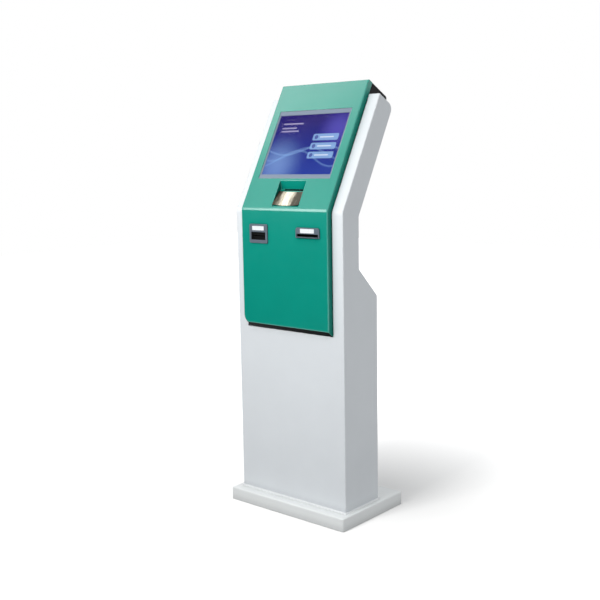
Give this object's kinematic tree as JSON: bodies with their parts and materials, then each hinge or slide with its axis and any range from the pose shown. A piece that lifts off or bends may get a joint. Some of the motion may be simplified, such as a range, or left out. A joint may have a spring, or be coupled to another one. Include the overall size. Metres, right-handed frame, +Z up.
{
  "type": "ticket dispenser kiosk",
  "caption": "Floor-standing ticket kiosk: plinth, column and leaning touch-screen head, with a lift-up fascia that holds a ticket recess, card throat and receipt slot.",
  "frame": {"origin": "centre of the plinth's underside, on the floor", "axes": "+Z up, -Y towards the user, +X to the right of a person looking at the screen"},
  "size_m": [0.515, 0.3483, 1.4811],
  "materials": {
    "cabinet_paint": "semi-gloss pale grey powder coat",
    "door_paint": "semi-gloss pale grey powder coat",
    "bead": "satin white sealing bead",
    "fascia_paint": "satin teal green powder coat",
    "cover_paint": "satin black powder coat",
    "screen_frame": "satin mid grey",
    "device_grey": "fine-grained slate grey",
    "throat_black": "matt black",
    "label_white": "bare off-white plate",
    "touch_glass": "clear touch glass",
    "display": "lit display, violet to blue",
    "chassis_black": "matt black sheet",
    "scoop_steel": "polished stainless steel",
    "zinc_sheet": "zinc-plated sheet",
    "zinc_hardware": "zinc-plated steel",
    "ground_steel": "ground steel",
    "strut_black": "gloss black lacquer",
    "module_dark": "dark grey moulding",
    "head_alloy": "anodised heat sink",
    "guide_steel": "bare spring steel",
    "motor_black": "black motor can",
    "coil": "lacquered solenoid yoke",
    "gear_white": "natural white acetal",
    "platen_rubber": "ground black rubber",
    "paper": "thermal paper",
    "core_card": "grey-brown board",
    "case_black": "textured black sheet",
    "supply_alloy": "perforated alloy case",
    "inlet_black": "black moulding",
    "fan_black": "black moulding",
    "guard_steel": "plated guard",
    "lock_chrome": "plated lock"
  },
  "bodies": {
    "cabinet": {"plinth": "cabinet_paint", "foot_bead": "bead", "cabinet_shell": "cabinet_paint", "base_bolts": "zinc_hardware", "device_shelf": "zinc_sheet", "printer_shelf": "zinc_sheet", "touch_glass": "touch_glass", "display_panel": "display", "monitor_chassis": "chassis_black", "monitor_rails": "zinc_sheet", "head_cover": "cover_paint", "head_screws": "zinc_hardware", "hinge_rail": "zinc_sheet", "fascia_hinge_fixed_leaves": "zinc_hardware", "hinge_pins": "zinc_hardware", "strut_brackets": "zinc_sheet", "card_reader": "module_dark", "receipt_printer": "module_dark", "printer_frame": "zinc_sheet", "feed_motor": "motor_black", "print_head": "head_alloy", "cutter_bed": "ground_steel", "cutter_solenoid": "coil", "ticket_deflector": "guide_steel", "ticket_web": "paper", "roll_spindle": "zinc_hardware", "roll_bracket": "zinc_sheet", "computer": "case_black", "power_supply": "supply_alloy", "mains_inlet": "inlet_black", "door_frame": "zinc_sheet", "door_hinge_fixed_leaves": "zinc_hardware"},
    "fascia": {"fascia": "fascia_paint", "ticket_scoop": "scoop_steel", "screen_bezel": "screen_frame", "fascia_hinge_moving_leaves": "zinc_hardware", "strut_lugs": "zinc_hardware", "card_bezel": "device_grey", "card_throat": "throat_black", "label_plates": "label_white", "receipt_bezel": "device_grey"},
    "strut_tubes": {"strut_tubes": "strut_black"},
    "strut_rods": {"strut_rods": "ground_steel"},
    "rear_door": {"rear_door": "door_paint", "door_hinge_moving_leaves": "zinc_hardware", "lock_barrel": "lock_chrome", "fan_frame": "fan_black", "fan_guard": "guard_steel", "fan_screws": "zinc_hardware"},
    "door_lock": {"lock_cam": "lock_chrome"},
    "fan": {"fan_rotor": "fan_black"},
    "platen": {"platen_roller": "platen_rubber", "platen_shaft": "ground_steel", "platen_gear": "gear_white"},
    "pinion": {"motor_pinion": "gear_white"},
    "cutter": {"cutter_blade": "ground_steel"},
    "paper_roll": {"ticket_roll": "paper", "roll_core": "core_card"},
    "power_switch": {"power_rocker": "inlet_black"}
  },
  "joints": [
    {"name": "fascia_lift", "type": "hinge", "parent": "cabinet", "child": "fascia", "pos_m": [0, 0.09151, 1.46819], "axis": [-1, 0, 0], "range_deg": [0, 65]},
    {"name": "strut_swing", "type": "hinge", "parent": "cabinet", "child": "strut_tubes", "pos_m": [0, -0.04814, 1.14683], "axis": [1, 0, 0], "range_deg": [0, 17.21]},
    {"name": "strut_extend", "type": "slide", "parent": "strut_tubes", "child": "strut_rods", "axis": [0, 0.3273, 0.9449], "range_m": [0, 0.11236]},
    {"name": "rear_door_swing", "type": "hinge", "parent": "cabinet", "child": "rear_door", "pos_m": [-0.20875, 0.06, 0.43], "axis": [0, 0, 1], "range_deg": [0, 110]},
    {"name": "lock_turn", "type": "hinge", "parent": "rear_door", "child": "door_lock", "pos_m": [0.19, 0.056, 0.442], "axis": [0, -1, 0], "range_deg": [0, 90]},
    {"name": "fan_spin", "type": "hinge", "parent": "rear_door", "child": "fan", "pos_m": [-0.1, 0.04, 0.612], "axis": [0, 1, 0], "continuous": true},
    {"name": "platen_spin", "type": "hinge", "parent": "cabinet", "child": "platen", "pos_m": [0.005, -0.0807, 1.072], "axis": [1, 0, 0], "continuous": true},
    {"name": "pinion_spin", "type": "hinge", "parent": "cabinet", "child": "pinion", "pos_m": [0.061, -0.05677, 1.06084], "axis": [1, 0, 0], "continuous": true},
    {"name": "cutter_stroke", "type": "slide", "parent": "cabinet", "child": "cutter", "axis": [0, -1, 0], "range_m": [0, 0.008], "stiffness_N_per_m": 150},
    {"name": "roll_spin", "type": "hinge", "parent": "cabinet", "child": "paper_roll", "pos_m": [0.005, -0.0337, 0.56], "axis": [1, 0, 0], "continuous": true},
    {"name": "power_switch_tip", "type": "hinge", "parent": "cabinet", "child": "power_switch", "pos_m": [0.155, 0.056, 0.079], "axis": [-1, 0, 0], "range_deg": [0, 18]}
  ],
  "couplings": [
    {"joint": "strut_swing", "follows": "fascia_lift", "ratio": 0.26466},
    {"joint": "strut_extend", "follows": "fascia_lift", "m_per_rad": 0.098953},
    {"joint": "pinion_spin", "follows": "platen_spin", "ratio": -3.2}
  ]
}
